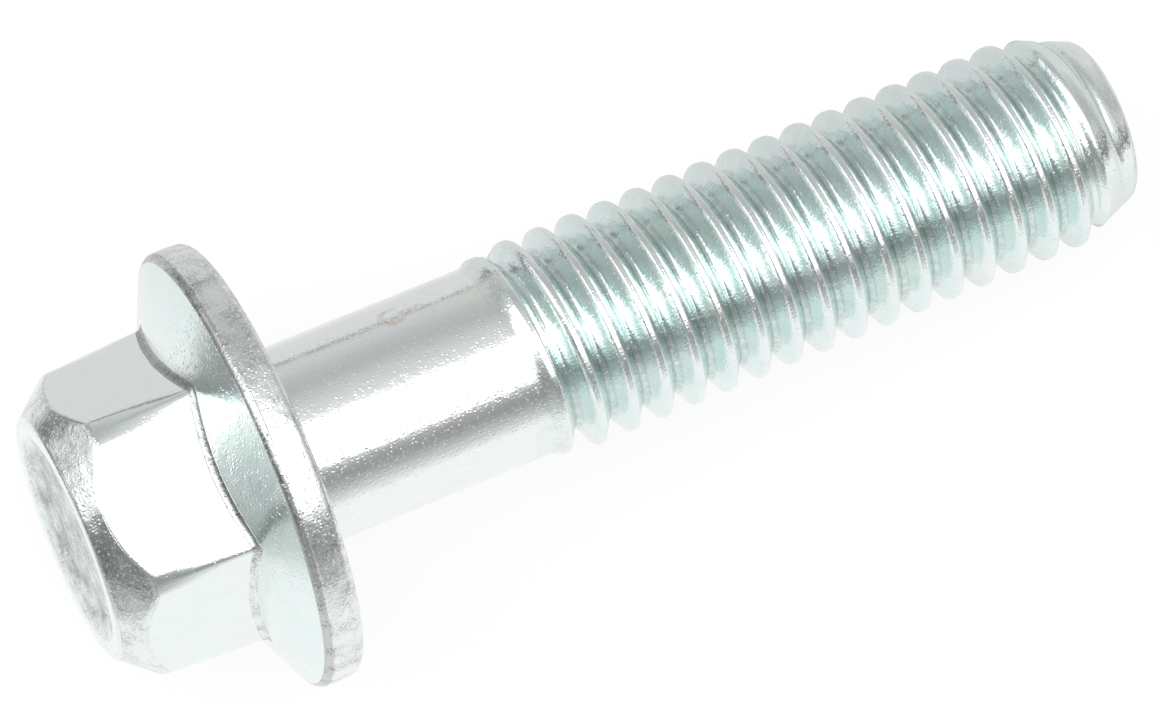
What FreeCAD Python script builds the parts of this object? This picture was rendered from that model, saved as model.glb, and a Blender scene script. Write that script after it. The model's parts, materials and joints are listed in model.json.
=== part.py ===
"""Hexagon flange head screw, M8 x 32, zinc plated, forged and thread-rolled in one piece.

The screw is built upright about the Z axis, with its bearing face at Z = 0, its point up and its
head below. It is then laid down the way it rests on a flat surface: on the flange's rim and on
the end of the thread, with its axis in the XZ plane and its point towards +X.
Sizes are in millimetres and angles in degrees.
"""

import FreeCAD, Part
import math
import os

from FreeCAD import Vector

# Thread
CREST_RADIUS = 3.90

# Shank and point, measured from the bearing face
SHANK_RADIUS = 3.55
SHANK_LENGTH = 9.35  # its smooth length
SHOULDER_LENGTH = 0.45
UNDERHEAD_FILLET = 0.40
LENGTH = 32.15
POINT_LENGTH = 2.40
POINT_RADIUS = 3.06
END_RADIUS = 2.70
END_CHAMFER = 0.25

# Flange
FLANGE_RADIUS = 7.98
FLANGE_EDGE_HEIGHT = 1.35
FLANGE_DRAFT = 0.05  # how much smaller the rim is at its upper edge
FLANGE_UPPER_ROUNDING = 0.30
FLANGE_LOWER_ROUNDING = 0.28
FLANGE_CONE_ANGLE = 25.5

# Hexagon
ACROSS_FLATS = 9.96
HEAD_HEIGHT = 7.50
HEX_TURN = 11.0  # how far the uppermost flat is turned from level as the screw lies
CORNER_RADIUS = 5.71  # over the corners at the foot of the hexagon
DRAWN_IN_RADIUS = 5.50  # over the corners where the chamfer begins
TOP_RADIUS = 4.35
TOP_ROUNDING = 0.25
CHAMFER_ANGLE = 50.0
CHAMFER_ROUNDING = 0.30
FOOT_OVERLAP = 0.60  # how deep the hexagon and the flange's cone run into each other

# Recess in the head
RECESS_RADIUS = 3.80
RECESS_ROUNDING = 0.15
RECESS_FLOOR_RADIUS = 2.95
RECESS_DEPTH = 0.36
RECESS_DISH = 0.08  # how much deeper the floor is at its centre

AXIS = Vector(0, 0, 1)
CENTRE = Vector(0, 0, 0)


def tangent(degrees):
    return math.tan(math.radians(degrees))


def rounded_corner(before, corner, after, rounding):
    """Start, middle and end of the arc that rounds a corner between two straight sides."""
    to_before = (before - corner).normalize()
    to_after = (after - corner).normalize()
    half_angle = to_before.getAngle(to_after) / 2
    reach = rounding / math.tan(half_angle)
    inwards = (to_before + to_after).normalize()
    middle = corner + inwards * (rounding / math.sin(half_angle) - rounding)
    return corner + to_before * reach, middle, corner + to_after * reach


def turned(*outline):
    """A solid turned about Z from the corners (radius, height) or (radius, height, rounding)."""
    corners = [Vector(corner[0], 0, corner[1]) for corner in outline]
    roundings = [corner[2] if len(corner) > 2 else 0 for corner in outline]
    edges = []
    starts = []
    ends = []
    for i, corner in enumerate(corners):
        start, end = corner, corner
        if roundings[i]:
            following = corners[(i + 1) % len(corners)]
            start, middle, end = rounded_corner(corners[i - 1], corner, following, roundings[i])
            edges.append(Part.Arc(start, middle, end).toShape())
        starts.append(start)
        ends.append(end)
    for i, end in enumerate(ends):
        edges.append(Part.LineSegment(end, starts[(i + 1) % len(starts)]).toShape())
    face = Part.Face(Part.Wire(Part.__sortEdges__(edges)))
    return face.revolve(CENTRE, AXIS, 360)


def flange_height(radius):
    """Height of the flange's cone above the bearing face at a radius."""
    edge_radius = FLANGE_RADIUS - FLANGE_DRAFT
    return FLANGE_EDGE_HEIGHT + (edge_radius - radius) * tangent(FLANGE_CONE_ANGLE)


def flange_and_shank():
    """The flange with its cone, the smooth shank, its shoulder, the thread's blank and the point."""
    inside_hexagon = ACROSS_FLATS / 2 - FOOT_OVERLAP
    return turned(
        (0, -flange_height(inside_hexagon)),
        (inside_hexagon, -flange_height(inside_hexagon)),
        (FLANGE_RADIUS - FLANGE_DRAFT, -FLANGE_EDGE_HEIGHT, FLANGE_UPPER_ROUNDING),
        (FLANGE_RADIUS, 0, FLANGE_LOWER_ROUNDING),
        (SHANK_RADIUS, 0, UNDERHEAD_FILLET),
        (SHANK_RADIUS, SHANK_LENGTH),
        (CREST_RADIUS, SHANK_LENGTH + SHOULDER_LENGTH),
        (CREST_RADIUS, LENGTH - POINT_LENGTH),
        (POINT_RADIUS, LENGTH - END_CHAMFER),
        (END_RADIUS, LENGTH),
        (0, LENGTH),
    )


def hexagon():
    """The six flats, with corners that draw in, a chamfered top and the shallow recess in it."""
    foot = flange_height(CORNER_RADIUS) - FOOT_OVERLAP
    chamfer_height = HEAD_HEIGHT - (DRAWN_IN_RADIUS - TOP_RADIUS) * tangent(CHAMFER_ANGLE)
    envelope = turned(
        (0, -foot),
        (CORNER_RADIUS, -foot),
        (DRAWN_IN_RADIUS, -chamfer_height, CHAMFER_ROUNDING),
        (TOP_RADIUS, -HEAD_HEIGHT, TOP_ROUNDING),
        (RECESS_RADIUS, -HEAD_HEIGHT, RECESS_ROUNDING),
        (RECESS_FLOOR_RADIUS, RECESS_DEPTH - HEAD_HEIGHT),
        (0, RECESS_DEPTH + RECESS_DISH - HEAD_HEIGHT),
    )
    corner = ACROSS_FLATS / 2 / math.cos(math.radians(30))
    turns = [math.radians(HEX_TURN + 30 + 60 * side) for side in range(7)]
    outline = [Vector(corner * math.cos(turn), corner * math.sin(turn), -HEAD_HEIGHT) for turn in turns]
    prism = Part.Face(Part.makePolygon(outline)).extrude(AXIS * (HEAD_HEIGHT - foot))
    return prism.common(envelope)


def resting_tilt():
    """How far the axis slopes down when the flange's rim and the end of the thread touch the ground.

    The ground's line goes through the last full crest and touches the rim's lower rounding.
    """
    along = LENGTH - POINT_LENGTH + FLANGE_LOWER_ROUNDING
    across = FLANGE_RADIUS - FLANGE_LOWER_ROUNDING - CREST_RADIUS
    reach = math.hypot(along, across)
    return math.degrees(math.atan2(across, along) + math.asin(FLANGE_LOWER_ROUNDING / reach))


def laid_down(solid):
    """The screw on its side, centred over the origin and touching the ground at Z = 0."""
    lying = solid.copy()
    lying.rotate(CENTRE, Vector(0, 1, 0), 90 + resting_tilt())
    box = lying.optimalBoundingBox(False, False)
    lying.translate(Vector(-box.Center.x, -box.Center.y, -box.ZMin))
    return lying


screw = laid_down(flange_and_shank().fuse(hexagon()))
os.makedirs("parts", exist_ok=True)
screw.exportStep("parts/flange_screw.step")
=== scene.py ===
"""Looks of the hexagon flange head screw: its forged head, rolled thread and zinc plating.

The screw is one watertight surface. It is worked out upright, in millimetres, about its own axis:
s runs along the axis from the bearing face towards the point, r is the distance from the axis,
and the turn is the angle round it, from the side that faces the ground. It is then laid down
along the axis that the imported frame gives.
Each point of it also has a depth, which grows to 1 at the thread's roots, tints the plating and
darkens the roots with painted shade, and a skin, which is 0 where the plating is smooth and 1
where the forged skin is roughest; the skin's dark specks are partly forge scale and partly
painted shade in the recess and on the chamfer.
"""

import json
import math
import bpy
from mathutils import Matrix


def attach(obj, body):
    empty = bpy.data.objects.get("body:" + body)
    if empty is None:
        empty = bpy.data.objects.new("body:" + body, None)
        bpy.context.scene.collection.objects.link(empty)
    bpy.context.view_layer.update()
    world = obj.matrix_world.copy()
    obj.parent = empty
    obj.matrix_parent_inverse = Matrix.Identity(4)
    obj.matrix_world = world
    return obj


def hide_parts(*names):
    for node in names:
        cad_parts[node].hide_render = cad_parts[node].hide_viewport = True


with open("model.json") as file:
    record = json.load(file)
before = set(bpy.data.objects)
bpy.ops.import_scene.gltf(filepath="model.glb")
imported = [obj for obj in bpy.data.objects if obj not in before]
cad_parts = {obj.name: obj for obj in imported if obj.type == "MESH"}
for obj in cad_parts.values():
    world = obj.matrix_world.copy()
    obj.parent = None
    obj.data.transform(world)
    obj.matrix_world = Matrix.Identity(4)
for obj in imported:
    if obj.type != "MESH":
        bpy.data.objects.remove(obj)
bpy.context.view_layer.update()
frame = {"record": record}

from types import SimpleNamespace

import bpy
import numpy as np
from bpy.props import FloatProperty, FloatVectorProperty, PointerProperty
from mathutils import Vector

bl_info = {
    "name": "Flange head screw",
    "version": (1, 0, 0),
    "blender": (4, 5, 0),
    "location": "3D View > Sidebar > Screw",
    "description": "Builds the zinc plated screw on its packed frame, with floor, light and camera",
    "category": "Object",
}

MM = 0.001
MOUNTS = {mount["name"]: mount for mount in frame["record"]["mounts"]}


# Sizes and colours that a user would change


def length(name, description, millimetres):
    """A length that is given in millimetres and kept in metres."""
    default = millimetres * MM
    return FloatProperty(name=name, description=description, default=default, unit="LENGTH", precision=5)


def angle(name, description, degrees):
    """An angle that is given in degrees and kept in radians."""
    return FloatProperty(name=name, description=description, default=math.radians(degrees), subtype="ANGLE")


def colour(name, description, value):
    """A colour of three numbers from 0 to 1."""
    limits = {"min": 0, "max": 1}
    return FloatVectorProperty(name=name, description=description, default=value, subtype="COLOR", **limits)


class HeadSizes(bpy.types.PropertyGroup):
    across_flats: length("Across flats", "Width of the hexagon over its flats", 9.96)
    hex_turn: angle("Hexagon turn", "Turn of the first flat from the side facing the ground", 11.0)
    head_height: length("Head height", "From the bearing face to the head's top", 7.50)
    foot_radius: length("Corner radius at the foot", "Over the corners at the flange", 5.71)
    drawn_in_radius: length("Corner radius at the chamfer", "Over the corners where the chamfer begins", 5.50)
    top_radius: length("Top radius", "Where the chamfer meets the head's top", 4.35)
    chamfer_angle: angle("Chamfer angle", "Slope of the chamfer from the head's top", 50.0)
    recess_radius: length("Recess radius", "Rim of the shallow recess in the head", 3.80)
    recess_floor_radius: length("Recess floor radius", "Edge of the recess's floor", 2.95)
    recess_depth: length("Recess depth", "Depth at the edge of the recess's floor", 0.36)
    recess_dish: length("Recess dish", "Further depth at the recess's centre", 0.08)
    flange_radius: length("Flange radius", "Radius of the flange's rim", 7.98)
    flange_edge: length("Flange edge height", "Height of the flange's rim", 1.35)
    cone_angle: angle("Cone angle", "Slope of the flange's upper face", 25.5)


class ThreadSizes(bpy.types.PropertyGroup):
    shank_radius: length("Shank radius", "Radius of the smooth shank", 3.55)
    crest_radius: length("Crest radius", "Radius over the thread's crests", 3.90)
    depth: length("Thread depth", "From a crest to the root beside it", 0.69)
    pitch: length("Pitch", "From one crest to the next", 1.25)
    first_crest: length("First crest", "Place of a crest on the ground's side, from the bearing face", 11.252)
    length: length("Length", "From the bearing face to the end", 32.15)
    point_length: length("Point length", "Length of the chamfered point", 2.40)
    point_radius: length("Point radius", "Radius at the end of the point's cone", 3.05)


class Finish(bpy.types.PropertyGroup):
    zinc: colour("Zinc", "Colour of the bright plating", (0.868, 0.905, 0.886))
    groove_tint: colour("Groove tint", "Blue-green of the plating in the grooves", (0.745, 0.868, 0.85))
    # Its dark is partly forge scale and partly painted shade in the recess and on the chamfer
    forged_scale_and_shade: colour("Forged skin", "Dark specks where the head was forged", (0.22, 0.225, 0.225))
    stain: colour("Stain", "Brown stain on the shank", (0.62, 0.46, 0.34))
    floor: colour("Floor", "Colour of the floor", (0.12, 0.12, 0.12))


def in_millimetres(group):
    """A property group's values, with its lengths in millimetres."""
    values = {}
    for name, prop in group.bl_rna.properties.items():
        if name in group.__annotations__:
            values[name] = getattr(group, name) / (MM if prop.unit == "LENGTH" else 1)
    return SimpleNamespace(**values)


# Profiles as numpy arrays


def smallest(a, b, soft):
    """The smaller of two lengths, with the edge between them rounded.

    It is -soft * log(exp(-a / soft) + exp(-b / soft)).
    """
    low = np.minimum(a, b)
    return low - soft * np.log(np.exp((low - a) / soft) + np.exp((low - b) / soft))


def ramp(x, start, end):
    """0 before start, 1 after end, and 3 t^2 - 2 t^3 between them."""
    t = np.clip((x - start) / (end - start), 0.0, 1.0)
    return t * t * (3.0 - 2.0 * t)


def hump(x, centre, width):
    """1 at the centre, falling off to both sides as exp(-((x - centre) / width)^2)."""
    return np.exp(-(((x - centre) / width) ** 2))


def arc_rows(before, corner, after, rounding, steps):
    """Rows of points on the arc that rounds a corner between two straight sides.

    All the corners are arrays over the columns. The arc is a rational parabola: its ends are
    rounding / tan(half angle) from the corner, and the corner weighs sin(half angle).
    """
    back = before - corner
    ahead = after - corner
    back /= np.linalg.norm(back, axis=-1, keepdims=True)
    ahead /= np.linalg.norm(ahead, axis=-1, keepdims=True)
    half = np.arccos(np.clip((back * ahead).sum(-1, keepdims=True), -1.0, 1.0)) / 2
    reach = rounding / np.tan(half)
    t = np.linspace(0.0, 1.0, steps + 1)[:, None, None]
    start, end = corner + back * reach, corner + ahead * reach
    weights = (1 - t) ** 2, 2 * t * (1 - t) * np.sin(half), t**2
    return (weights[0] * start + weights[1] * corner + weights[2] * end) / sum(weights)


def with_skin(rows, skin):
    """Adds the skin, a number or an array over the columns, to rows of (r, s)."""
    return np.concatenate([rows, np.broadcast_to(skin, rows.shape[:-1])[..., None]], -1)


def profile_rows(*corners):
    """Rows of (r, s, skin) for each column along straight sides with rounded corners.

    A corner is (r, s, rounding, steps of its arc, rows of the side after it, skin of the arc, skin
    of the side). r and s are numbers or arrays over the columns, and a side's rows are the shares
    of its length at which they lie.
    """
    columns = max(np.size(value) for corner in corners for value in corner[:2])
    points = [np.stack([np.broadcast_to(value, columns) for value in corner[:2]], -1) for corner in corners]
    arcs = []
    for i, (_, _, rounding, steps, *_) in enumerate(corners):
        if rounding:
            arcs.append(arc_rows(points[i - 1], points[i], points[i + 1], rounding, steps))
        else:
            arcs.append(points[i][None])
    rows = []
    for i, (arc, (*_, shares, arc_skin, side_skin)) in enumerate(zip(arcs, corners)):
        rows.append(with_skin(arc, arc_skin))
        if i + 1 < len(arcs) and len(shares):
            share = np.array(shares)[:, None, None]
            rows.append(with_skin(arc[-1] + (arcs[i + 1][0] - arc[-1]) * share, side_skin))
    return np.concatenate(rows)


# The head and the smooth shank, in millimetres

# Where the rows begin to follow the thread's helix, and where they stop
THREAD_FROM = 8.45
THREAD_TO = 31.72

FLATS = 6
COLUMNS_PER_FLAT = 36
EVENNESS = 0.35  # how evenly a flat's columns are spaced, from 0 to 1
DISH_ROWS = 12
RECESS_FLOOR_EDGE = 0.97  # share of its radius from which the recess's floor is level
CORNER_SOFTNESS = 0.03  # of the hexagon's corners

RECESS_FLOOR_ROUNDING = 0.05
RECESS_ROUNDING = 0.15
TOP_ROUNDING = 0.25
CHAMFER_ROUNDING = 0.30
FOOT_ROUNDING = 0.30
RIM_UPPER_ROUNDING = 0.36
RIM_BULGE_ROUNDING = 4.0
RIM_LOWER_ROUNDING = 0.30
UNDERHEAD_FILLET = 0.40

# The rim bulges: how far its upper edge, its widest place and its lower edge lie outside its radius
RIM_UPPER_REACH = -0.05
RIM_BULGE_REACH = 0.005
RIM_LOWER_REACH = -0.06
RIM_BULGE_HEIGHT = 0.62  # share of the rim's height

RECESS_SKIN = 0.7
FOOT_SKIN = 0.98
FOOT_POLISH = 0.33  # how much less skin the foot has round its polished side
POLISHED_TURN = math.radians(240)  # of that side, from the first flat
POLISHED_WIDTH = math.radians(28)

# Rows of a straight side, as shares of its length, close to its rounded corners to keep it flat
FLAT_EDGES = (0.02, 0.98)
FLAT_AND_MIDDLE = (0.02, 0.5, 0.98)
FLAT_AND_LONG = (0.01, 0.2, 0.4, 0.6, 0.8, 0.99)


def column_turns():
    """Turns of the columns from the first flat's centre, close together at the hexagon's corners.

    Within a sixth, the turn from the flat's centre is 30 degrees times EVENNESS * u plus
    (1 - EVENNESS) * sin(90 degrees * u), for u from -1 to 1.
    """
    sixth = 2 * math.pi / FLATS
    u = (np.arange(COLUMNS_PER_FLAT) + 0.5) / (COLUMNS_PER_FLAT / 2) - 1
    within = sixth / 2 * (EVENNESS * u + (1 - EVENNESS) * np.sin(u * math.pi / 2))
    return (np.arange(FLATS)[:, None] * sixth + within).ravel()


def head_rows(head, thread, turns):
    """Rows from the middle of the recess over the chamfer, the flats and the flange to the shank.

    The flats' distance from the axis is half the width across flats / cos(turn from the flat's
    centre), cut off at the corners by a slow cone, so each column has its own crease and foot.
    """
    half_sixth = math.pi / FLATS
    from_centre = (turns + half_sixth) % (2 * half_sixth) - half_sixth
    flat = head.across_flats / 2 / np.cos(from_centre)
    crease = smallest(flat, head.drawn_in_radius, CORNER_SOFTNESS)
    foot = smallest(flat, head.foot_radius, CORNER_SOFTNESS)
    top = -head.head_height
    floor = top + head.recess_depth
    crease_s = top + (crease - head.top_radius) * math.tan(head.chamfer_angle)
    rim = head.flange_radius + RIM_UPPER_REACH
    bulge = head.flange_radius + RIM_BULGE_REACH
    lower_rim = head.flange_radius + RIM_LOWER_REACH
    foot_s = -head.flange_edge - (rim - foot) * math.tan(head.cone_angle)
    foot_skin = FOOT_SKIN - FOOT_POLISH * hump(turns, POLISHED_TURN, POLISHED_WIDTH)

    share = np.linspace(0.0, 1.0, DISH_ROWS)[1:-1, None]
    dish = [share * head.recess_floor_radius, floor + head.recess_dish * (1 - share**2)]
    dish = with_skin(np.stack([value + np.zeros_like(turns) for value in dish], -1), RECESS_SKIN)
    walls = profile_rows(
        (head.recess_floor_radius * RECESS_FLOOR_EDGE, floor, 0, 0, (), RECESS_SKIN, RECESS_SKIN),
        (head.recess_floor_radius, floor, RECESS_FLOOR_ROUNDING, 3, (0.1, 0.9), 0.9, RECESS_SKIN),
        (head.recess_radius, top, RECESS_ROUNDING, 4, (0.5,), 0.5, 0.4),
        (head.top_radius, top, TOP_ROUNDING, 5, FLAT_EDGES, 0.5, 0.7),
        (crease, crease_s, CHAMFER_ROUNDING, 6, FLAT_AND_LONG, 0.6, 0.1),
        (foot, foot_s, FOOT_ROUNDING, 8, FLAT_AND_LONG, foot_skin, 0.2),
        (rim, -head.flange_edge, RIM_UPPER_ROUNDING, 8, FLAT_AND_MIDDLE, 0.94, 0.8),
        (bulge, -RIM_BULGE_HEIGHT * head.flange_edge, RIM_BULGE_ROUNDING, 8, FLAT_AND_MIDDLE, 0.68, 0.72),
        (lower_rim, 0.0, RIM_LOWER_ROUNDING, 6, FLAT_AND_LONG, 0.7, 0.4),
        (thread.shank_radius, 0.0, UNDERHEAD_FILLET, 6, FLAT_AND_LONG, 0.4, 0.3),
        (thread.shank_radius, THREAD_FROM, 0, 0, (), 0.3, 0.3),
    )
    return np.concatenate([dish, walls])


# The thread and the point, in millimetres

ROW_CLEARANCE = 0.01  # helical rows keep this far from both ends

CREST_HALF_FLAT = 0.05
CREST_ROUNDING = 0.08
ROOT_ROUNDING = 0.18
SEAM_DEPTH = 0.006  # of the shallow seam that rolling leaves along the crest
FLANK = math.radians(60)  # slope of the flanks from the axis
CREST_END = CREST_HALF_FLAT + CREST_ROUNDING * math.sin(FLANK)
CREST_ARC_SHARES = (0.35, 0.7)  # rows on the crest's rounded edge
POINT_ROUNDING = 0.30
POINT_SOFTNESS = 0.03  # of the edges where the point's cone cuts the thread
LAST_ROW_RADIUS = 0.15  # of the row nearest to the axis at the end

# How the thread runs in at the shoulder: start and end, in turns along the helix, and share
CREST_RUN_IN = ((-2.05, -1.80, 0.55), (-1.20, -0.70, 0.45))
GROOVE_RUN_IN = ((-2.08, -1.72, 0.62), (-1.72, -1.25, 0.38))
RUN_IN_SOFTNESS = 0.012  # of the groove's edges there
CREST_CHANGE = (0.64, 0.97)  # where between two crests the height goes from one to the next

POINT_SKIN = 0.3
END_SKIN = 0.6


def in_turns(s, turns, thread):
    """How many pitches s lies past the first crest's helix at a turn."""
    return (s - thread.first_crest) / thread.pitch - turns / (2 * math.pi)


def run_in(along, stages):
    """Goes from 0 to 1 along the helix, by each stage's share between its start and end."""
    return sum(share * ramp(along, start, end) for start, end, share in stages)


def thread_shape(x, depth, pitch):
    """Depth below the crest at x, the distance from the nearest crest.

    The crest is flat, and its edge is an arc: rounding - sqrt(rounding^2 - distance past the
    flat^2). The flank falls by tan(60 degrees) times the distance, and the root is an arc about
    the groove's middle. All this is scaled to the depth. The seam in the flat is
    (1 + cos(180 degrees * x / half the flat)) / 2 times its depth.
    """
    root_start = pitch / 2 - ROOT_ROUNDING * math.sin(FLANK)
    x = np.abs(x)
    over = np.clip(x, CREST_HALF_FLAT, CREST_END) - CREST_HALF_FLAT
    crest = CREST_ROUNDING - np.sqrt(CREST_ROUNDING**2 - over**2)
    flank = CREST_ROUNDING / 2 + math.tan(FLANK) * (x - CREST_END)
    beyond = np.maximum(x, root_start) - pitch / 2
    root_depth = CREST_ROUNDING / 2 + math.tan(FLANK) * (root_start - CREST_END) + ROOT_ROUNDING / 2
    root = root_depth - ROOT_ROUNDING + np.sqrt(np.maximum(ROOT_ROUNDING**2 - beyond**2, 0))
    shape = np.where(x < CREST_END, crest, np.where(x < root_start, flank, root))
    seam = SEAM_DEPTH * (1 + np.cos(math.pi * np.minimum(x / CREST_HALF_FLAT, 1))) / 2
    return shape * depth / root_depth + seam


def point_cone(s, thread):
    """Radius of the point's cone at s: it narrows evenly from the crests' radius."""
    taper = (thread.crest_radius - thread.point_radius) / (thread.point_length - POINT_ROUNDING)
    return thread.crest_radius - taper * (s - thread.length + thread.point_length)


def thread_radius(s, turns, thread):
    """Radius of the threaded part at (s, turn), and how deep in its groove that point is, 0 to 1.

    The place along the unwound helix, in turns, sets how high the crest stands and how deep the
    groove is cut. At the shoulder both grow in two stages over about a turn, and the groove keeps
    the slope of its flanks there. Between two crests the height goes from one to the next. The
    radius is that height minus the groove, or the point's cone where that is smaller.
    """
    phase = in_turns(s, turns, thread)
    ring = np.floor(phase)
    share = phase - ring
    along = ring + turns / (2 * math.pi)
    rise = thread.crest_radius - thread.shank_radius
    this_crest = thread.shank_radius + rise * run_in(along, CREST_RUN_IN)
    next_crest = thread.shank_radius + rise * run_in(along + 1, CREST_RUN_IN)
    blend = ramp(share, *CREST_CHANGE)
    top = this_crest * (1 - blend) + next_crest * blend

    cut = run_in(along, GROOVE_RUN_IN)
    x = np.where(share < 0.5, share, share - 1) * thread.pitch
    groove = thread_shape(x, thread.depth, thread.pitch) - (1 - cut) * thread.depth
    groove = -smallest(-groove, np.zeros_like(groove), RUN_IN_SOFTNESS) * ramp(cut, 0.0, 0.1)
    cone = point_cone(s, thread)
    radius = smallest(top - groove, cone, POINT_SOFTNESS)
    return radius, np.maximum(np.minimum(top, cone) - radius, 0) / thread.depth


def helix_grid(thread, turns):
    """Rows of s that follow the helix, and how many there are to a pitch.

    s is the first crest + pitch * (the row's phase + turn / 360 degrees), and a pitch's phases
    mark the crest's seam, flat and rounded edge, the flank and the root's arc, on both sides.
    """
    flat, end = CREST_HALF_FLAT / thread.pitch, CREST_END / thread.pitch
    root_start = 0.5 - ROOT_ROUNDING * math.sin(FLANK) / thread.pitch
    arc = [flat + share * (end - flat) for share in CREST_ARC_SHARES]
    half = np.array([flat / 2, flat, *arc, end, (end + root_start) / 2, root_start, (root_start + 0.5) / 2])
    phases = np.concatenate([[0.0], half, [0.5], 1 - half[::-1]])
    first = math.floor((THREAD_FROM - thread.first_crest) / thread.pitch) - 1
    last = math.ceil((THREAD_TO - thread.first_crest) / thread.pitch) + 1
    rows = (np.arange(first, last + 1)[:, None] + phases).ravel()
    return thread.first_crest + thread.pitch * (rows[:, None] + turns / (2 * math.pi)), len(phases)


def point_rows(thread, start_radius):
    """Rows from where the helical ones stop over the point's rounded edge to near the axis."""
    end_radius = point_cone(thread.length, thread)
    return profile_rows(
        (start_radius, THREAD_TO, 0, 0, (), POINT_SKIN, POINT_SKIN),
        (end_radius, thread.length, POINT_ROUNDING, 6, (0.3, 0.7, 0.98), END_SKIN, END_SKIN),
        (LAST_ROW_RADIUS, thread.length, 0, 0, (), END_SKIN, END_SKIN),
    )


# The whole surface

FLAT_DEPTH = 0.10  # faint tint of the plating on the hexagon
CONE_DEPTH = 0.18  # and what the flange's cone has on top of it
CONE_EDGE = (5.4, 6.2)  # radii between which that begins
ABOVE_RIM = 0.05  # how far above the flange's rim both begin
SHANK_DEPTH = 0.16  # least depth on the rolled part
POINT_DEPTH = 0.08
POLE_SKIN = 1.0  # at the recess's centre
ROLLED_SKIN = 0.46

# Where the shoulder is rougher: turns along the helix, their width, and how much rougher it is
SHOULDER_PLACE = -2.25
SHOULDER_WIDTH = 0.25
SHOULDER_SKIN = 0.09
PATCH_PLACE = -1.75
PATCH_WIDTH = 0.22
PATCH_SKIN = 0.5
PATCH_TURN = math.radians(128)
PATCH_TURN_WIDTH = math.radians(13)


def rolled_skin(s, turns, thread):
    """Skin of the rolled part: even, a little rougher at the shoulder, and rough in a patch there.

    Both are humps over the place along the helix, and the patch is also one over the turn.
    """
    phase = in_turns(s, turns, thread)
    shoulder = hump(phase, SHOULDER_PLACE, SHOULDER_WIDTH)
    patch = hump(phase, PATCH_PLACE, PATCH_WIDTH) * hump(turns, PATCH_TURN, PATCH_TURN_WIDTH)
    return ROLLED_SKIN + SHOULDER_SKIN * shoulder + PATCH_SKIN * patch


def surface_rows(head, thread, turns):
    """Rows of (r, s, depth, skin) of the head, of the rolled part and of the point."""
    r, s, skin = np.moveaxis(head_rows(head, thread, turns - head.hex_turn), -1, 0)
    above = s < -head.flange_edge - ABOVE_RIM
    depth = FLAT_DEPTH * above + CONE_DEPTH * (ramp(r, *CONE_EDGE) * above)
    upper = np.stack([r, s, depth, skin], -1)

    s, per_pitch = helix_grid(thread, turns)
    r, depth = thread_radius(s, turns, thread)
    depth = SHANK_DEPTH + (1 - SHANK_DEPTH) * depth
    rolled = np.stack([r, s, depth, rolled_skin(s, turns, thread)], -1)

    start_radius, _ = thread_radius(np.full(len(turns), THREAD_TO), turns, thread)
    r, s, skin = np.moveaxis(point_rows(thread, start_radius), -1, 0)
    lower = np.stack([r, s, np.full_like(r, POINT_DEPTH), skin], -1)
    return upper, rolled, lower, per_pitch


def quads_between(rows, beside):
    """Faces between each row of vertex numbers and the next; beside has their neighbours."""
    return np.stack([rows[:-1], beside[:-1], beside[1:], rows[1:]], -1).reshape(-1, 4)


def surface_faces(top, helix, low, helix_s, per_pitch, poles):
    """Four-sided and three-sided faces between the rows' vertex numbers, facing outwards.

    A helical row's vertices beyond the threaded stretch stand for those on its end circles. The
    last column's neighbour is the first one, a pitch further on. A quad between rows that meet on
    an end circle loses a side there, and each pole closes its end with a fan.
    """
    helix = np.where(helix_s <= THREAD_FROM + ROW_CLEARANCE, top[-1], helix)
    helix = np.where(helix_s >= THREAD_TO - ROW_CLEARANCE, low[0], helix)
    beside = np.full_like(helix, low[0, 0])
    beside[:, :-1] = helix[:, 1:]
    beside[:-per_pitch, -1] = helix[per_pitch:, 0]

    top_beside, low_beside = np.roll(top, -1, 1), np.roll(low, -1, 1)
    quads = [quads_between(*pair) for pair in ((top, top_beside), (low, low_beside), (helix, beside))]
    quads = np.concatenate(quads)
    near = quads[:, 0] == quads[:, 3]
    far = quads[:, 1] == quads[:, 2]
    columns = top.shape[1]
    triangles = np.concatenate(
        [
            quads[near & ~far][:, [0, 1, 2]],
            quads[far & ~near][:, [0, 2, 3]],
            np.stack([np.full(columns, poles[0]), top_beside[0], top[0]], -1),
            np.stack([low[-1], low_beside[-1], np.full(columns, poles[1])], -1),
        ]
    )
    return quads[~near & ~far], triangles


def lay_down(radius, s, turns):
    """Points in the row frame: the axis's point at s + radius * (cos(turn) down + sin(turn) aside)."""
    axis = np.array(MOUNTS["thread"]["axis"], float)
    axis /= np.linalg.norm(axis)
    on_axis = np.array(MOUNTS["thread"]["pos_m"], float)
    face = np.array(MOUNTS["bearing_face"]["pos_m"], float)
    origin = on_axis + axis * ((face - on_axis) @ axis)
    aside = np.array([0.0, 1.0, 0.0])
    down = np.cross(aside, axis)
    across = np.cos(turns)[..., None] * down + np.sin(turns)[..., None] * aside
    return origin + MM * (np.asarray(s)[..., None] * axis + np.asarray(radius)[..., None] * across)


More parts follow.
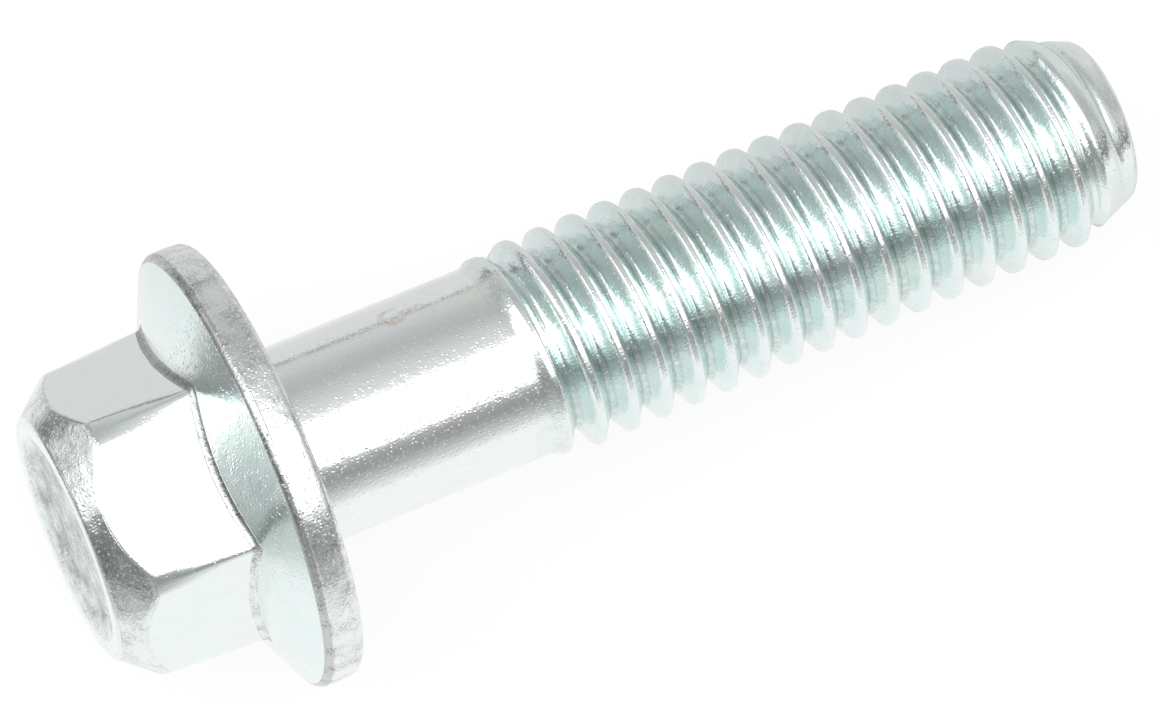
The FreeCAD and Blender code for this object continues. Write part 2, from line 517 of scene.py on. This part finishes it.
def screw_surface(head, thread):
    """The whole surface: points, four-sided and three-sided faces, and each point's depth and skin.

    Columns run along the axis. Rows run round it, level on the head and the point, and along the
    helix between them.
    """
    turns = np.sort((column_turns() + head.hex_turn) % (2 * math.pi))
    upper, rolled, lower, per_pitch = surface_rows(head, thread, turns)
    rows = np.concatenate([upper, rolled, lower])
    number = np.arange(rows.shape[0] * rows.shape[1]).reshape(rows.shape[:2])
    top, helix, low = np.split(number, [len(upper), len(upper) + len(rolled)])
    poles = number.size + np.arange(2)
    quads, triangles = surface_faces(top, helix, low, rolled[..., 1], per_pitch, poles)

    recess_centre = head.recess_depth + head.recess_dish - head.head_height
    pole_rows = [[0.0, recess_centre, 0.0, POLE_SKIN], [0.0, thread.length, 0.0, END_SKIN]]
    r, s, depth, skin = np.concatenate([rows.reshape(-1, 4), pole_rows]).T
    points = lay_down(r, s, np.concatenate([np.tile(turns, len(rows)), np.zeros(2)]))

    used = np.unique(np.concatenate([quads.ravel(), triangles.ravel()]))
    renumbered = np.zeros(len(points), int)
    renumbered[used] = np.arange(len(used))
    return points[used], renumbered[quads], renumbered[triangles], depth[used], skin[used]


def make_mesh(name, points, quads, triangles):
    """A smooth mesh from arrays of points, four-sided faces and three-sided faces."""
    mesh = bpy.data.meshes.new(name)
    mesh.from_pydata(points.tolist(), [], quads.tolist() + triangles.tolist())
    mesh.polygons.foreach_set("use_smooth", np.ones(len(mesh.polygons), bool))
    mesh.update()
    return mesh


# Materials

# The picture's right and its far side, on the floor
FRAME_RIGHT = (0.9090, -0.4167, 0.0)
FRAME_BACK = (0.4167, 0.9090, 0.0)

# Scales of the plating's patterns, per metre
GRAIN = 11000.0
PITS = 9000.0
MOTTLE = 3600.0
STAIN_WOBBLE = 2600.0
LUMPS = 1300.0
RECESS_DARK_PATCHES = 1100.0
PATCHES = 420.0
SCRATCHES = 260.0

# Colours that vary the plating, with painted shade in the thread's roots and, partly with dirt, in the recess
COOL_ZINC = (0.85, 0.885, 0.895)
WARM_ZINC = (0.875, 0.885, 0.85)
ROOT_SHADE = (0.36, 0.46, 0.45)
RECESS_DIRT_AND_SHADE = (0.32, 0.34, 0.35)
SCRATCHED = (0.55, 0.55, 0.53)

RECESS_DIRT_AND_SHADE_EDGE = (3.3 * MM, 3.6 * MM)  # distances from the recess's centre where its dirt and painted shade end

ROUGHNESS = 0.09
MOTTLE_ROUGHNESS = 0.12  # what the mottle adds to it
FORGED_ROUGHNESS = 0.12  # what the forged skin adds

# Heights of the bump in millimetres, and what a forged skin adds to two of them
PIT_HEIGHT = 0.009
PIT_SKIN_HEIGHT = 0.022
MOTTLE_HEIGHT = 0.002
MOTTLE_SKIN_HEIGHT = 0.012
LUMP_HEIGHT = 0.05
PATCH_HEIGHT = 0.025


class Nodes:
    """Short calls that add nodes to a tree and link them."""

    def __init__(self, tree):
        self.tree = tree
        tree.nodes.clear()

    def connect(self, target, source):
        """Links a socket to another one, or gives it a number or a colour."""
        if isinstance(source, bpy.types.NodeSocket):
            self.tree.links.new(source, target)
        elif target.type == "RGBA":
            target.default_value = (*source, 1.0)
        else:
            target.default_value = source

    def add(self, kind, links=(), **values):
        """A node with its settings, and with its inputs linked or filled."""
        node = self.tree.nodes.new(kind)
        for key, value in values.items():
            setattr(node, key, value)
        for socket, source in dict(links).items():
            self.connect(node.inputs[socket], source)
        return node

    def attribute(self, name):
        return self.add("ShaderNodeAttribute", attribute_name=name).outputs["Fac"]

    def noise(self, place, scale, detail=2.0, roughness=0.5, distortion=0.0):
        links = {"Vector": place, "Scale": scale, "Detail": detail}
        links.update({"Roughness": roughness, "Distortion": distortion})
        return self.add("ShaderNodeTexNoise", links).outputs["Fac"]

    def vector(self, operation, output, *values):
        """The named output of a Vector Math node."""
        return self.add("ShaderNodeVectorMath", dict(enumerate(values)), operation=operation).outputs[output]

    def math(self, operation, *values):
        return self.add("ShaderNodeMath", dict(enumerate(values)), operation=operation).outputs[0]

    def product(self, *factors):
        """All the factors multiplied, from the first to the last."""
        result = factors[0]
        for factor in factors[1:]:
            result = self.math("MULTIPLY", result, factor)
        return result

    def smooth(self, value, start, end, low, high):
        """Goes smoothly from low at start to high at end."""
        links = {"Value": value, "From Min": start, "From Max": end, "To Min": low, "To Max": high}
        return self.add("ShaderNodeMapRange", links, interpolation_type="SMOOTHSTEP").outputs["Result"]

    def tone(self, value, *stops):
        """A grey that follows the value along straight lines between stops of (value, grey)."""
        node = self.add("ShaderNodeValToRGB", {"Fac": value})
        elements = node.color_ramp.elements
        while len(elements) < len(stops):
            elements.new(0.5)
        for element, (place, grey) in zip(elements, stops):
            element.position = place
            element.color = (grey, grey, grey, 1.0)
        return node.outputs["Color"]

    def mix(self, factor, a, b):
        """Goes from a to b as the factor goes from 0 to 1."""
        node = self.add("ShaderNodeMix", data_type="RGBA")
        for socket, source in ((0, factor), (6, a), (7, b)):
            self.connect(node.inputs[socket], source)
        return node.outputs[2]


def new_material(name):
    """A material with an empty node tree, and that tree's short calls."""
    material = bpy.data.materials.new(name)
    material.use_nodes = True
    return material, Nodes(material.node_tree)


def zinc_plating(finish, stain_centre, recess_centre, axis):
    """Bright zinc over steel.

    Its colour varies in wide patches and turns blue-green deep in the thread, and painted shade
    darkens the roots. The recess is darkened in patches, partly by dirt and partly by painted shade,
    the forged skin has dark specks, which also paint shade in the recess and on the chamfer, and
    there are faint scratches and a brown stain. Small pits, a mottle, lumps and the patches make its
    bump.
    """
    material, n = new_material("zinc_plated_steel")
    place = n.add("ShaderNodeTexCoord").outputs["Object"]
    groove, skin = n.attribute("groove_depth"), n.attribute("forged_scale_and_shade")
    mottle = n.noise(place, MOTTLE, 3.0, 0.6)
    lumps = n.noise(place, LUMPS)
    patches = n.noise(place, PATCHES, 3.0)
    forged = n.smooth(skin, 0.35, 1.0, 0.0, 1.0)

    base = n.mix(n.tone(groove, (0.0, 0.0), (0.38, 1.0)), tuple(finish.zinc), tuple(finish.groove_tint))
    base = n.mix(n.tone(patches, (0.48, 0.0), (0.62, 0.5)), base, COOL_ZINC)
    base = n.mix(n.tone(patches, (0.36, 0.5), (0.46, 0.0)), base, WARM_ZINC)
    # Painted shade: the thread's roots are darkened where shade falls between the flanks
    root = n.product(n.smooth(groove, 0.80, 0.97, 0.0, 1.0), n.tone(mottle, (0.35, 0.2), (0.6, 0.55)))
    base = n.mix(root, base, ROOT_SHADE)
    # Dark patches in the recess: partly dirt and partly painted shade
    base = n.mix(recess_dirt_and_shade(n, place, recess_centre), base, RECESS_DIRT_AND_SHADE)
    # Forged skin: dark specks, partly forge scale and partly painted shade in the recess and on the chamfer
    base = n.mix(forged_specks_and_shade(n, place, skin, forged, lumps), base, tuple(finish.forged_scale_and_shade))
    base = n.mix(scratches(n, place), base, SCRATCHED)
    stained = n.product(stain_shape(n, place, stain_centre, axis), n.tone(mottle, (0.35, 0.2), (0.6, 0.6)))
    base = n.mix(stained, base, tuple(finish.stain))

    rough = n.math("MULTIPLY_ADD", mottle, MOTTLE_ROUGHNESS, ROUGHNESS)
    rough = n.math("MULTIPLY_ADD", forged, FORGED_ROUGHNESS, rough)
    pit_height = n.math("MULTIPLY_ADD", skin, PIT_SKIN_HEIGHT, PIT_HEIGHT)
    mottle_height = n.math("MULTIPLY_ADD", skin, MOTTLE_SKIN_HEIGHT, MOTTLE_HEIGHT)
    height = n.product(pits(n, place), pit_height)
    height = n.math("MULTIPLY_ADD", mottle, mottle_height, height)
    height = n.math("MULTIPLY_ADD", n.product(lumps, forged), LUMP_HEIGHT, height)
    height = n.math("MULTIPLY_ADD", patches, PATCH_HEIGHT, height)
    bump = n.add("ShaderNodeBump", {"Strength": 1.0, "Distance": MM, "Height": height}).outputs[0]
    links = {"Base Color": base, "Metallic": 1.0, "Roughness": rough, "Normal": bump}
    shader = n.add("ShaderNodeBsdfPrincipled", links)
    n.add("ShaderNodeOutputMaterial", {"Surface": shader.outputs[0]})
    return material


def recess_dirt_and_shade(n, place, centre):
    """How strongly the recess is darkened, partly by dirt and partly as painted shade, in patches that end at
    its rim.
    """
    away = n.vector("DISTANCE", "Value", place, tuple(centre))
    inside = n.smooth(away, *RECESS_DIRT_AND_SHADE_EDGE, 1.0, 0.0)
    return n.product(inside, n.tone(n.noise(place, RECESS_DARK_PATCHES, 3.0, 0.6, 0.4), (0.38, 0.05), (0.62, 0.75)))


def forged_specks_and_shade(n, place, skin, forged, lumps):
    """How dark the forged skin is: grains that gather in lumps, closed where the skin is roughest. It is
    partly forge scale and partly painted shade in the recess and on the chamfer.
    """
    grain = n.tone(n.noise(place, GRAIN, 2.0, 0.6), (0.40, 0.1), (0.58, 1.0))
    grains = n.product(grain, n.tone(lumps, (0.38, 0.1), (0.6, 0.9)))
    return n.math("MAXIMUM", n.product(forged, grains), n.smooth(skin, 0.85, 1.0, 0.0, 0.68))


def scratches(n, place):
    """Faint thin streaks: the ridges of a noise that is drawn out along the screw."""
    links = {"Vector": place, "Rotation": (0.0, 0.1, 0.35), "Scale": (1.0, 16.0, 16.0)}
    streaks = n.add("ShaderNodeMapping", links).outputs[0]
    return n.tone(n.noise(streaks, SCRATCHES), (0.66, 0.0), (0.675, 0.2), (0.69, 0.0))


def pits(n, place):
    """Small round pits and knobs, each as deep or high as its cell's random value says."""
    cells = n.add("ShaderNodeTexVoronoi", {"Vector": place, "Scale": PITS})
    depth = n.math("SUBTRACT", cells.outputs["Color"], 0.45)
    return n.product(depth, n.smooth(cells.outputs["Distance"], 0.1, 0.5, 1.0, 0.0))


STAIN_RADIUS = 0.42  # of the stain's arc, in millimetres
STAIN_UNEVENNESS = 0.3  # of its edges, in millimetres


def stain_shape(n, place, centre, axis):
    """A small arc with a tail: how strongly each point is stained, 0 to 1.

    The arc lies where the distance from its centre is STAIN_RADIUS, on the head's side of it. The
    tail is a streak along the screw that starts at the centre. A noise makes both edges uneven.
    """
    wobble = n.product(n.noise(place, STAIN_WOBBLE), STAIN_UNEVENNESS)
    offset = n.vector("SUBTRACT", "Vector", place, tuple(centre))
    away = n.product(n.vector("LENGTH", "Value", offset), 1 / MM)
    along = n.product(n.vector("DOT_PRODUCT", "Value", offset, tuple(axis)), 1 / MM)
    beside = n.math("SUBTRACT", n.math("POWER", away, 2.0), n.math("POWER", along, 2.0))
    beside = n.math("SQRT", n.math("MAXIMUM", beside, 0.0))
    ring = n.math("ADD", n.math("ABSOLUTE", n.math("SUBTRACT", away, STAIN_RADIUS)), wobble)
    arc = n.product(n.smooth(ring, 0.14, 0.34, 1.0, 0.0), n.smooth(along, 0.1, 0.4, 1.0, 0.0))
    tail = n.product(n.smooth(along, 0.1, 0.3, 0.0, 1.0), n.smooth(along, 0.9, 1.3, 1.0, 0.0))
    tail = n.product(tail, n.smooth(n.math("ADD", beside, wobble), 0.16, 0.3, 0.8, 0.0))
    return n.math("MAXIMUM", arc, tail)


FLOOR_GLOW = 0.88  # how bright the paper looks to the camera

# Changes of the paper's brightness: where each begins and ends, in metres, and its two values
# Painted light: FAR_FROM_SCREW is a pool of light round the screw, painted into the paper's glow
FAR_FROM_SCREW = (0.04, 0.15, 1.0, 0.85)
# The rest are seen in gloss only, at places behind the screw's middle or to the right of it
# Painted shadow and shade: BEHIND paints the screw's shadow into the paper's reflection, and the others paint
# shade and light there
BEHIND = (-0.002, 0.012, 1.02, 0.71)
FAR_BEHIND = (0.03, 0.10, 1.0, 1.08)
FAR_IN_FRONT = (-0.10, -0.04, 0.75, 1.0)
PAST_HEAD_IN_FRONT = (-0.032, -0.026, 0.6, 1.0)
PAST_HEAD_BEHIND = (-0.043, -0.039, 0.22, 1.0)
FRONT_TO_BACK = (-0.015, -0.010, 0.0, 1.0)


def pale_floor(finish):
    """White paper that the camera and the gloss both see.

    To the camera it gets a little greyer far from the screw, a painted pool of light round it. Seen
    in gloss it is brightest in front of the screw, greyer behind it, where it paints the screw's
    shadow, and greyer far in front. Past the head it greys too, as painted shade, nearer to the head
    on the front side than on the back.
    """
    material, n = new_material("pale_floor")
    place = n.add("ShaderNodeTexCoord").outputs["Object"]
    right, back = (n.vector("DOT_PRODUCT", "Value", place, side) for side in (FRAME_RIGHT, FRAME_BACK))
    far = n.smooth(n.vector("LENGTH", "Value", place), *FAR_FROM_SCREW)
    past_head = n.mix(
        n.smooth(back, *FRONT_TO_BACK),
        n.smooth(right, *PAST_HEAD_IN_FRONT),
        n.smooth(right, *PAST_HEAD_BEHIND),
    )
    behind = n.product(*(n.smooth(back, *change) for change in (BEHIND, FAR_IN_FRONT, FAR_BEHIND)))
    # Painted shadow and shade in the paper's reflection
    gloss = n.product(behind, past_head)
    path = n.add("ShaderNodeLightPath").outputs
    mirrored = n.math("MAXIMUM", path["Is Glossy Ray"], path["Is Transmission Ray"])
    seen = n.math("MAXIMUM", n.product(path["Is Camera Ray"], far), n.product(mirrored, gloss))
    paper = n.add("ShaderNodeBsdfDiffuse", {"Color": tuple(finish.floor)})
    glow = n.add("ShaderNodeEmission", {"Color": (1.0, 1.0, 1.0), "Strength": n.product(seen, FLOOR_GLOW)})
    both = n.add("ShaderNodeAddShader", {0: paper.outputs[0], 1: glow.outputs[0]})
    n.add("ShaderNodeOutputMaterial", {"Surface": both.outputs[0]})
    return material


# Operators

STAIN_S = 5.45  # place of the stain on the shank, mm from the bearing face
STAIN_TURN = math.radians(139.0)


class SCREW_OT_screw(bpy.types.Operator):
    """Builds the screw's surface in place of its plain solid"""

    bl_idname = "screw.screw"
    bl_label = "Screw"

    def execute(self, context):
        scene = context.scene
        head, thread = in_millimetres(scene.screw_head), in_millimetres(scene.screw_thread)
        points, quads, triangles, depths, skins = screw_surface(head, thread)
        mesh = make_mesh("flange_screw_surface", points, quads, triangles)
        for name, values in (("groove_depth", depths), ("forged_scale_and_shade", skins)):
            mesh.attributes.new(name, "FLOAT", "POINT").data.foreach_set("value", values)
        screw = bpy.data.objects.new("flange_screw_surface", mesh)
        scene.collection.objects.link(screw)
        stain = lay_down(thread.shank_radius, STAIN_S, np.array(STAIN_TURN))
        recess = lay_down(0.0, head.recess_depth - head.head_height, np.array(0.0))
        mesh.materials.append(zinc_plating(scene.screw_finish, stain, recess, MOUNTS["thread"]["axis"]))
        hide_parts("flange_screw")
        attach(screw, "root")
        return {"FINISHED"}


CAMERA_PLACE = Vector((-0.0241130, -0.0517161, 0.2299182))
CAMERA_LOOK = Vector((0.1010372, 0.2203916, -0.9701644))
LENS = 207.131  # mm
SENSOR = 36.0  # mm
NEAREST = 0.01  # m, what the camera sees begins there
FLOOR_HALF = 3.0  # m

# Degrees in front of the vertical, and how bright the room is there
ROOM_LIGHT = [
    (-95, 0.66),
    (-82, 0.68),
    (-62, 0.54),
    (-50, 0.50),
    (-38, 0.62),
    (-24, 0.75),
    (-12, 0.82),
    (10, 0.90),
    (28, 0.80),
    (38, 0.72),
    (46, 0.42),
    (60, 0.32),
    (72, 0.46),
    (84, 0.64),
    (95, 0.75),
]
# The same for what the strip adds
STRIP_LIGHT = [(-18.5, 0.0), (-10.5, 1.5), (28.5, 1.55), (34.5, 0.2), (38.5, 0.0)]
STRIP_TURN = 0.03  # how far back its left end is set, in full turns
STRIP_ENDS = ((0.86, 0.93), (-0.50, -0.78))  # where it fades out, to the left and to the right
BRIGHTEST = 2.4
WALL_LIGHT = 1.2
DARK = (0.05, 0.05, 0.05)

# Where the wall and the dark begin and end, and how strong each is at both places. Places to the
# left go from -1 to 1, and places in front are shares of a full turn, with the vertical at 0.5.
WALL_LEFT = (0.84, 0.89, 0.0, 1.0)
WALL_FADES = (0.91, 0.94, 1.0, 0.2)
WALL_FRONT = (0.61, 0.645, 1.0, 0.0)
DARK_FRONT = (0.60, 0.615, 0.0, 1.0)
DARK_LEFT = (0.15, 0.5, 0.0, 0.7)
DARK_SLANT = 0.5  # how steeply the dark's edge leans
DARK_EDGE = (0.950, 0.980, 0.0, 1.0)
DARK_RIGHT = (-0.985, -0.95, 0.75, 0.0)


class SCREW_OT_stage(bpy.types.Operator):
    """Makes the floor, the room's light and the camera"""

    bl_idname = "screw.stage"
    bl_label = "Stage"

    def execute(self, context):
        scene = context.scene
        self.floor(scene)
        self.room(scene)
        self.camera(scene)
        scene.view_settings.view_transform = "Standard"
        return {"FINISHED"}

    def floor(self, scene):
        corners = [(x * FLOOR_HALF, y * FLOOR_HALF, 0) for x, y in ((-1, -1), (1, -1), (1, 1), (-1, 1))]
        mesh = bpy.data.meshes.new("floor")
        mesh.from_pydata(corners, [], [(0, 1, 2, 3)])
        floor = bpy.data.objects.new("floor", mesh)
        scene.collection.objects.link(floor)
        mesh.materials.append(pale_floor(scene.screw_finish))

    def room(self, scene):
        """A long soft strip of light over the screw in a grey room.

        Both depend on the angle in front of the vertical, measured across the strip, which is
        turned a little against the screw and fades out at its ends. A pale wall closes the room
        past the strip's left end, and it is dark in front of that wall and at the right end.
        """
        world = bpy.data.worlds.new("room")
        scene.world = world
        world.use_nodes = True
        n = Nodes(world.node_tree)
        direction = n.add("ShaderNodeTexCoord").outputs["Generated"]
        up = n.add("ShaderNodeSeparateXYZ", {"Vector": direction}).outputs["Z"]
        front = n.product(n.vector("DOT_PRODUCT", "Value", direction, FRAME_BACK), -1.0)
        left = n.product(n.vector("DOT_PRODUCT", "Value", direction, FRAME_RIGHT), -1.0)
        share = n.math("MULTIPLY_ADD", n.math("ARCTAN2", front, up), 0.5 / math.pi, 0.5)
        turned = n.math("MULTIPLY_ADD", left, STRIP_TURN, share)
        room, strip = self.light_at(n, share, ROOM_LIGHT), self.light_at(n, turned, STRIP_LIGHT)
        strip = n.product(strip, *(n.smooth(left, start, end, 1.0, 0.0) for start, end in STRIP_ENDS))

        wall = n.product(
            n.smooth(left, *WALL_LEFT),
            n.smooth(left, *WALL_FADES),
            n.smooth(share, *WALL_FRONT),
        )
        slanted = n.math("MULTIPLY_ADD", left, DARK_SLANT, share)
        before_wall = n.product(
            n.smooth(slanted, *DARK_EDGE),
            n.smooth(share, *DARK_FRONT),
            n.smooth(left, *DARK_LEFT),
        )
        right_end = n.smooth(left, *DARK_RIGHT)
        light = n.mix(wall, n.math("ADD", room, strip), (WALL_LIGHT / BRIGHTEST,) * 3)
        light = n.mix(right_end, n.mix(before_wall, light, DARK), DARK)
        back = n.add("ShaderNodeBackground", {"Color": light, "Strength": BRIGHTEST})
        n.add("ShaderNodeOutputWorld", {"Surface": back.outputs[0]})

    def light_at(self, n, share, lights):
        """The light at a share of the full turn round the strip, where the vertical is 0.5."""
        return n.tone(share, *((0.5 + degrees / 360, light / BRIGHTEST) for degrees, light in lights))

    def camera(self, scene):
        lens = bpy.data.cameras.new("camera")
        lens.sensor_width = SENSOR
        lens.lens = LENS
        lens.clip_start = NEAREST
        camera = bpy.data.objects.new("camera", lens)
        scene.collection.objects.link(camera)
        camera.location = CAMERA_PLACE
        camera.rotation_mode = "QUATERNION"
        camera.rotation_quaternion = CAMERA_LOOK.to_track_quat("-Z", "Y")
        scene.camera = camera


class SCREW_PT_panel(bpy.types.Panel):
    """Lists the screw's sizes, colours and steps"""

    bl_idname = "SCREW_PT_panel"
    bl_label = "Flange head screw"
    bl_space_type = "VIEW_3D"
    bl_region_type = "UI"
    bl_category = "Screw"

    def draw(self, context):
        scene = context.scene
        for group in (scene.screw_head, scene.screw_thread, scene.screw_finish):
            column = self.layout.column()
            for name in group.__annotations__:
                column.prop(group, name)
        self.layout.operator("screw.screw")
        self.layout.operator("screw.stage")


CLASSES = (HeadSizes, ThreadSizes, Finish, SCREW_OT_screw, SCREW_OT_stage, SCREW_PT_panel)


def register():
    for cls in CLASSES:
        bpy.utils.register_class(cls)
    bpy.types.Scene.screw_head = PointerProperty(type=HeadSizes)
    bpy.types.Scene.screw_thread = PointerProperty(type=ThreadSizes)
    bpy.types.Scene.screw_finish = PointerProperty(type=Finish)


def unregister():
    del bpy.types.Scene.screw_head, bpy.types.Scene.screw_thread, bpy.types.Scene.screw_finish
    for cls in reversed(CLASSES):
        bpy.utils.unregister_class(cls)


def main():
    """Builds the screw and its stage."""
    register()
    bpy.ops.screw.screw()
    bpy.ops.screw.stage()


if __name__ == "__main__":
    main()
